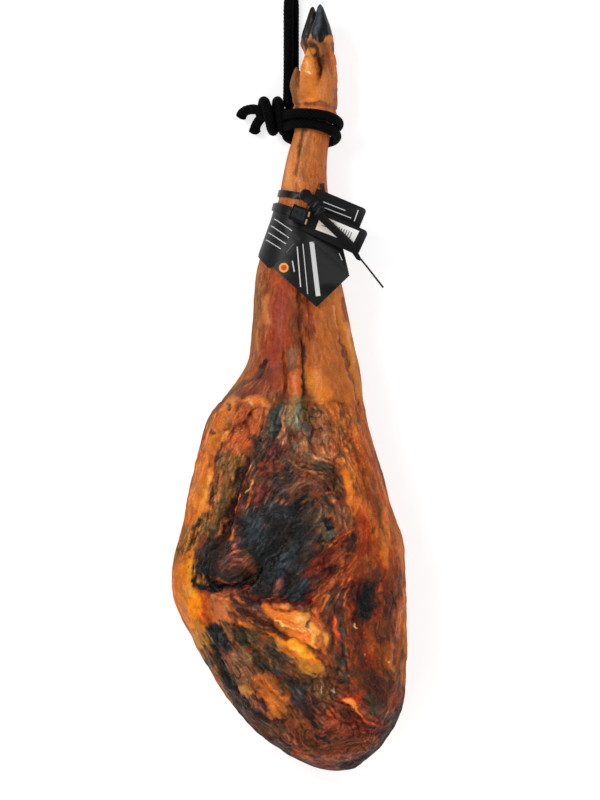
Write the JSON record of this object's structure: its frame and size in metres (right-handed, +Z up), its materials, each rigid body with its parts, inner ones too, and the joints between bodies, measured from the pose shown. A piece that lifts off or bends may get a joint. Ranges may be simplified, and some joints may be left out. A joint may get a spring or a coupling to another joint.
{
  "type": "cured ham",
  "caption": "Whole dry-cured ham with its dark hoof, lying on its rind, with a black rope tie and hanging loop, and a plain folded label, tags and plastic seals round the shank.",
  "frame": {"origin": "on the table under the middle of the ham's outline, without the free rope loop", "axes": "+X to the right of the shown meat side, +Y along the leg towards the hoof, +Z up, out of the meat side"},
  "size_m": [0.248, 0.8903, 0.1178],
  "materials": {
    "cured_meat": "oily cured meat, fat and rind",
    "rope": "braided black cord",
    "label_board": "satin coated card",
    "tag_board": "satin card with a plain pale sticker",
    "seal_plastic": "moulded black plastic"
  },
  "bodies": {
    "root": {"ham": "cured_meat", "rope_tie": "rope", "rope_loop": "rope", "label": "label_board", "tag_upper": "tag_board", "tag_lower": "tag_board", "pull_seal": "seal_plastic", "clip_seal": "seal_plastic"}
  },
  "joints": []
}
